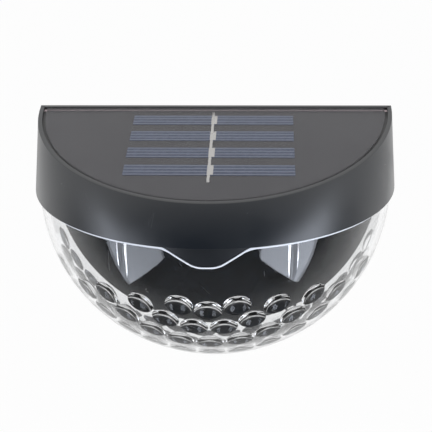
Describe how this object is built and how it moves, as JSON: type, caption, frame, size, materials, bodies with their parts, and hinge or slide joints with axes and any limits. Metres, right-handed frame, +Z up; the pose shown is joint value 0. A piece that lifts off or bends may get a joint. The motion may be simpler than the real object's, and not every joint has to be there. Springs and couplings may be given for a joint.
{
  "type": "fence light",
  "caption": "Half-moon solar fence light: sloped solar panel in a black band, clear quarter-ball lens with inner pillow bumps below, flat back plate with keyholes and a power button.",
  "frame": {"origin": "on the wall plane, at the middle of the seam between the band and the lens", "axes": "+Z up, +Y from the light into the wall (the light stands out towards -Y), +X to the right seen from the front"},
  "size_m": [0.12, 0.0644, 0.0834],
  "materials": {
    "black_plastic": "satin",
    "clear_plastic": "polished",
    "panel_film": "matte",
    "panel_board": "matte",
    "silicon": "semi-gloss",
    "tinned_copper": "satin",
    "sealant": "matte",
    "screw_steel": "zinc plated",
    "seal_rubber": "matte",
    "button_plastic": "satin",
    "switch_plastic": "satin",
    "light_board": "white solder mask",
    "led": "yellow phosphor in a white frame",
    "chip_plastic": "matte",
    "coil": "lacquered",
    "capacitor_can": "satin",
    "battery_can": "plain sleeve",
    "contact_steel": "nickel plated",
    "plug_silicone": "cured silicone",
    "red_insulation": "satin",
    "black_insulation": "satin"
  },
  "bodies": {
    "light": {"top_housing": "black_plastic", "lens": "clear_plastic", "back_plate": "black_plastic", "back_screws": "screw_steel", "panel_film": "panel_film", "panel_board": "panel_board", "solar_cells": "silicon", "cell_ribbon": "tinned_copper", "panel_sealant": "sealant", "button_seal": "seal_rubber", "switch_body": "switch_plastic", "led_tray": "black_plastic", "tray_screws": "screw_steel", "led_board": "light_board", "leds": "led", "board_screws": "screw_steel", "driver_chip": "chip_plastic", "inductor": "coil", "capacitor": "capacitor_can", "battery_cradle": "black_plastic", "battery": "battery_can", "contact_plate": "contact_steel", "contact_spring": "contact_steel", "lead_plug": "plug_silicone", "panel_lead_red": "red_insulation", "panel_lead_black": "black_insulation", "battery_lead_red": "red_insulation", "battery_lead_black": "black_insulation", "switch_leads": "red_insulation"},
    "button": {"switch_button": "button_plastic"}
  },
  "joints": [
    {"name": "button_press", "type": "slide", "parent": "light", "child": "button", "axis": [0, -1, 0], "range_m": [0, 0.0012], "stiffness_N_per_m": 800, "springref_m": -0.0005}
  ]
}
